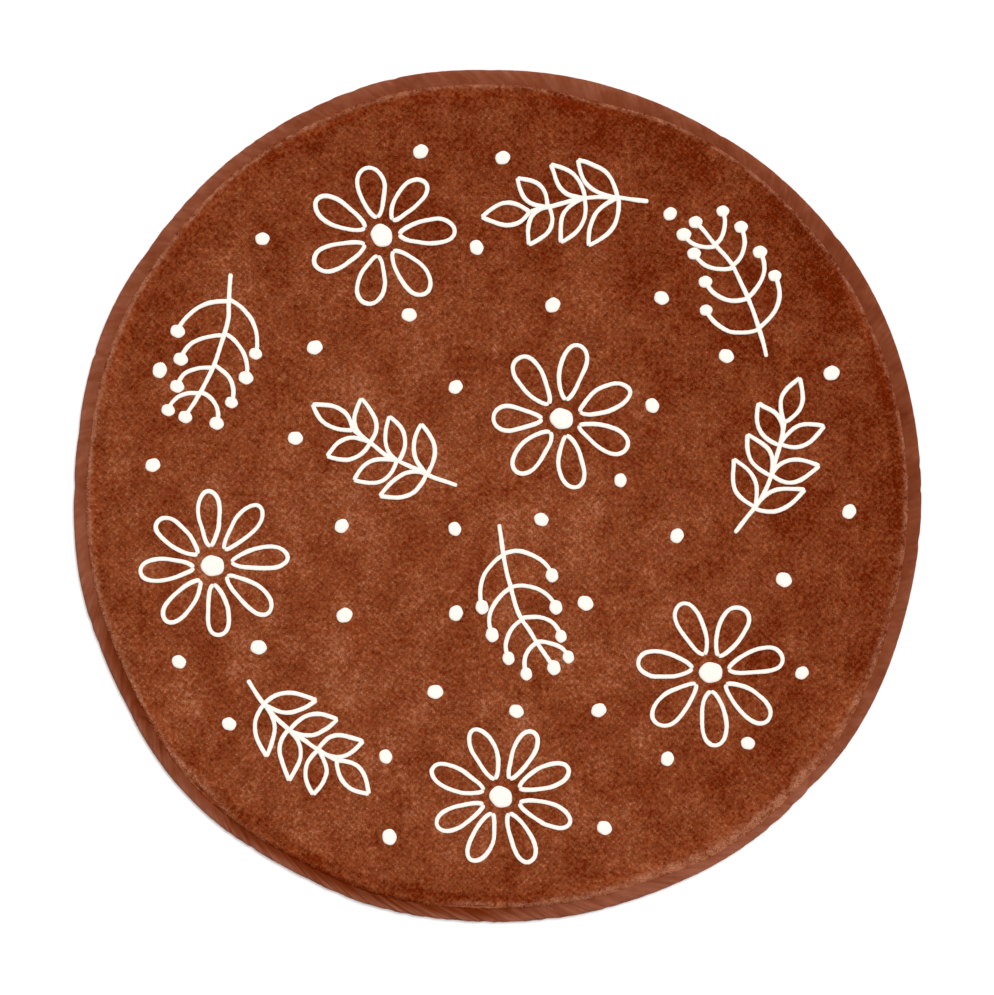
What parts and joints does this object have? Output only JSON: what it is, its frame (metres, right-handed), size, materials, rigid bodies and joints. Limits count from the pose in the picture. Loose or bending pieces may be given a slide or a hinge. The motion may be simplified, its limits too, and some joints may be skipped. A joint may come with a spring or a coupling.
{
  "type": "round children's rug",
  "caption": "Round padded velour floor rug for a child's room, edged with a gathered bias-cut cloth binding, flat underneath.",
  "frame": {"origin": "on the floor, under the middle of the rug", "axes": "+Z up from the floor through the rug's thickness; +X to the right and +Y up in the picture's straight-down view"},
  "size_m": [0.9933, 0.9987, 0.0108],
  "materials": {
    "velour_pile": "matte",
    "cotton_binding": "matte",
    "white_thread": "satin"
  },
  "bodies": {
    "root": {"velour_mat": "velour_pile", "edge_binding": "cotton_binding"}
  },
  "joints": []
}
